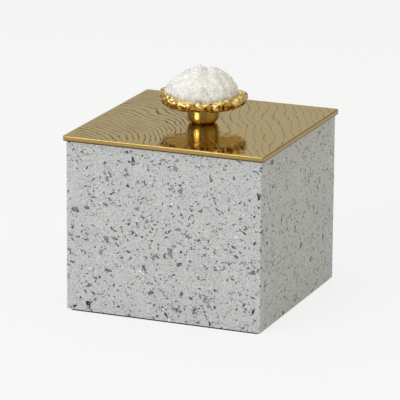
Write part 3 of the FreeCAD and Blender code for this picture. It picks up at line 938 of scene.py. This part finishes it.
# sizes in mm
CRYSTAL_TOP = 22.9
CRYSTAL_LEAN = 2.8
CRYSTAL_BITE = 1.0
# how far the mass's shoulders slope in, 1 for a half oval
CRYSTAL_SLOPE = 1.75
COARSE_LUMP = 0.75
POINT_COUNT = 430
POINT_REACH = 1.4
POINT_TILT = 0.3
POINT_RISE = 0.15
POINT_TAPER, POINT_TIP = 0.1, 0.6
SOLID_GRID = 0.26
# place along the stone and across it, height and radius of each lump on the mass, in mm
LUMPS = [
    (-4.0, -2.0, 1.1, 4.5), (8.0, 0.0, 0.7, 4.5), (-14.0, 3.0, 0.8, 4.0), (2.5, -3.0, -0.9, 2.5),
    (0.0, -12.0, 0.8, 5.0), (14.0, -6.0, 0.7, 4.0), (-12.0, -9.0, 0.6, 4.0), (3.0, 12.0, 0.8, 5.0),
]
# place along the stone, height and half width of ridges and of the cleft across it, in mm
RIDGES = [(-3.2, 0.7, 2.2), (2.6, -1.5, 2.2), (8.6, 0.2, 2.4)]
random.seed(21)

bpy.ops.object.select_all(action="DESELECT")
bpy.ops.mesh.primitive_uv_sphere_add(segments=96, ring_count=64, radius=1)
druse = bpy.context.object
druse.name = "quartz_druse"
for vertex in druse.data.vertices:
    turn = math.atan2(vertex.co.y, vertex.co.x)
    climb = math.asin(max(-1, min(1, vertex.co.z)))
    out = Vector((math.cos(turn), math.sin(turn), 0))
    foot = out * (rim_radius(turn, GILT_LIP) - CRYSTAL_BITE)
    height = rim_height(turn)
    if climb < 0:
        point = foot * math.cos(climb) + Vector((-CRYSTAL_SHIFT, 0, 0)) * math.cos(climb)
        point.z = GILT_SKIN + (height - GILT_SKIN) * math.cos(climb) ** 6
    else:
        share = math.sin(climb) ** CRYSTAL_SLOPE
        point = foot * math.cos(climb) + Vector((CRYSTAL_LEAN * share - CRYSTAL_SHIFT, 0, 0))
        point.z = height + (CRYSTAL_TOP - POINT_REACH - 0.6 - height) * share
        for lump_x, lump_y, lump_height, lump_size in LUMPS:
            away = (Vector((lump_x, lump_y)) - point.xy).length / lump_size
            point.z += lump_height * math.exp(-away ** 2)
        for ridge_x, ridge_height, ridge_size in RIDGES:
            point.z += share * ridge_height * math.exp(-((point.x - ridge_x) / ridge_size) ** 2)
        coarse = noise.noise(point / 6) + 0.5 * noise.noise(point / 2.6)
        coarse *= COARSE_LUMP
        point += coarse * math.sin(climb) ** 0.5 * (out * math.cos(climb) + Vector((0, 0, 1)))
    vertex.co = point
druse.data.update()

bpy.ops.object.select_all(action="DESELECT")
bpy.ops.mesh.primitive_cylinder_add(vertices=6, radius=1, depth=1, end_fill_type="NGON")
quartz_point = bpy.context.object
bpy.ops.object.mode_set(mode="EDIT")
bpy.ops.mesh.select_mode(type="FACE")
bpy.ops.mesh.select_all(action="DESELECT")
bpy.ops.object.mode_set(mode="OBJECT")
for polygon in quartz_point.data.polygons:
    polygon.select = polygon.normal.z > 0.9
bpy.ops.object.mode_set(mode="EDIT")
bpy.ops.mesh.extrude_region_move(TRANSFORM_OT_translate={"value": (0, 0, POINT_TIP)})
bpy.ops.transform.resize(value=(POINT_TAPER, POINT_TAPER, 1))
bpy.ops.object.mode_set(mode="OBJECT")

# the sphere's faces come in an order that can change, so they are sorted before the draws
grown_from = rim_height(0) - 3
facets = [p for p in druse.data.polygons if p.center.z > grown_from and p.normal.z > -0.2]
facets.sort(key=lambda facet: sorted(facet.vertices))
areas = [facet.area for facet in facets]
grown = bmesh.new()
grown.from_mesh(druse.data)
for attempt in range(POINT_COUNT):
    facet = random.choices(facets, areas)[0]
    corners = [druse.data.vertices[index].co for index in sorted(facet.vertices)]
    shares = [random.random() + 0.01 for _ in corners]
    root = sum((c * s for c, s in zip(corners, shares)), Vector()) / sum(shares)
    coarse = min(1, max(0, 0.5 + 0.9 * noise.noise(root / 4.5)))
    width = random.uniform(1.2, 2.2) + 1.3 * coarse * random.random() ** 1.5
    long = width * random.uniform(0.9, 1.3)
    bare = width * random.uniform(0.0, 0.2)
    tilt = Vector([random.gauss(0, POINT_TILT) for _ in range(3)])
    aim = (facet.normal + tilt + Vector((0, 0, POINT_RISE))).normalized()
    stand = Matrix.Translation(root + aim * (bare - 0.5 * long))
    stand = stand @ aim.to_track_quat("Z", "Y").to_matrix().to_4x4()
    spin = Matrix.Rotation(random.uniform(0, math.pi), 4, "Z")
    size = Matrix.Diagonal((width, width * random.uniform(0.75, 1), long, 1))
    one = quartz_point.data.copy()
    one.transform(stand @ spin @ size)
    grown.from_mesh(one)
    bpy.data.meshes.remove(one)
grown.to_mesh(druse.data)
grown.free()
bpy.data.objects.remove(quartz_point)
druse.select_set(True)
bpy.context.view_layer.objects.active = druse
fused = druse.modifiers.new("fused_growth", "REMESH")
fused.mode = "VOXEL"
fused.voxel_size = SOLID_GRID
bpy.ops.object.modifier_apply(modifier=fused.name)
# pockets that the growth closed in are taken out, so that one outer skin is left
bpy.ops.object.mode_set(mode="EDIT")
bpy.ops.mesh.select_mode(type="VERT")
bpy.ops.mesh.select_all(action="DESELECT")
bpy.ops.object.mode_set(mode="OBJECT")
max(druse.data.vertices, key=lambda vertex: vertex.co.z).select = True
bpy.ops.object.mode_set(mode="EDIT")
bpy.ops.mesh.select_linked()
bpy.ops.mesh.select_all(action="INVERT")
bpy.ops.mesh.delete(type="VERT")
bpy.ops.object.mode_set(mode="OBJECT")
softened = druse.modifiers.new("softened_edges", "SMOOTH")
softened.factor = 0.5
softened.iterations = 3
bpy.ops.object.modifier_apply(modifier=softened.name)
druse.data.transform(to_place)

quartz, tree, shader, in_mm = new_material("milky_quartz")
milk = add_node(
    tree, "ShaderNodeTexNoise", {"Vector": in_mm, "Scale": 1 / MILK_SIZE, "Detail": 3.0}
)
milk = add_node(tree, "ShaderNodeMapRange", {0: milk, "From Min": 0.35, "From Max": 0.65})
clearer_top = add_node(tree, "ShaderNodeSeparateXYZ", {0: in_mm})
clearer_top = add_node(
    tree, "ShaderNodeMapRange",
    {0: clearer_top.outputs["Z"], "From Min": stone_seat / MM + 8,
     "From Max": stone_seat / MM + CRYSTAL_TOP, "To Min": 0.15, "To Max": -0.35},
)
milk = add_node(tree, "ShaderNodeMath", {0: milk, 1: clearer_top}, operation="ADD", use_clamp=True)
milk_tone = add_node(
    tree, "ShaderNodeMix",
    {"Factor": milk, "A": linear(QUARTZ_CLEARER), "B": linear(QUARTZ_CLOUDY)},
    data_type="RGBA",
)
plug(shader, {
    "Base Color": milk_tone, "Roughness": 0.22, "IOR": 1.544, "Subsurface Weight": 1.0,
    "Subsurface Radius": (1.0, 0.97, 0.92), "Subsurface Scale": LIGHT_REACH * MM,
})
druse.data.materials.clear()
druse.data.materials.append(quartz)
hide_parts("crystal_cluster")
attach(druse, "lid")
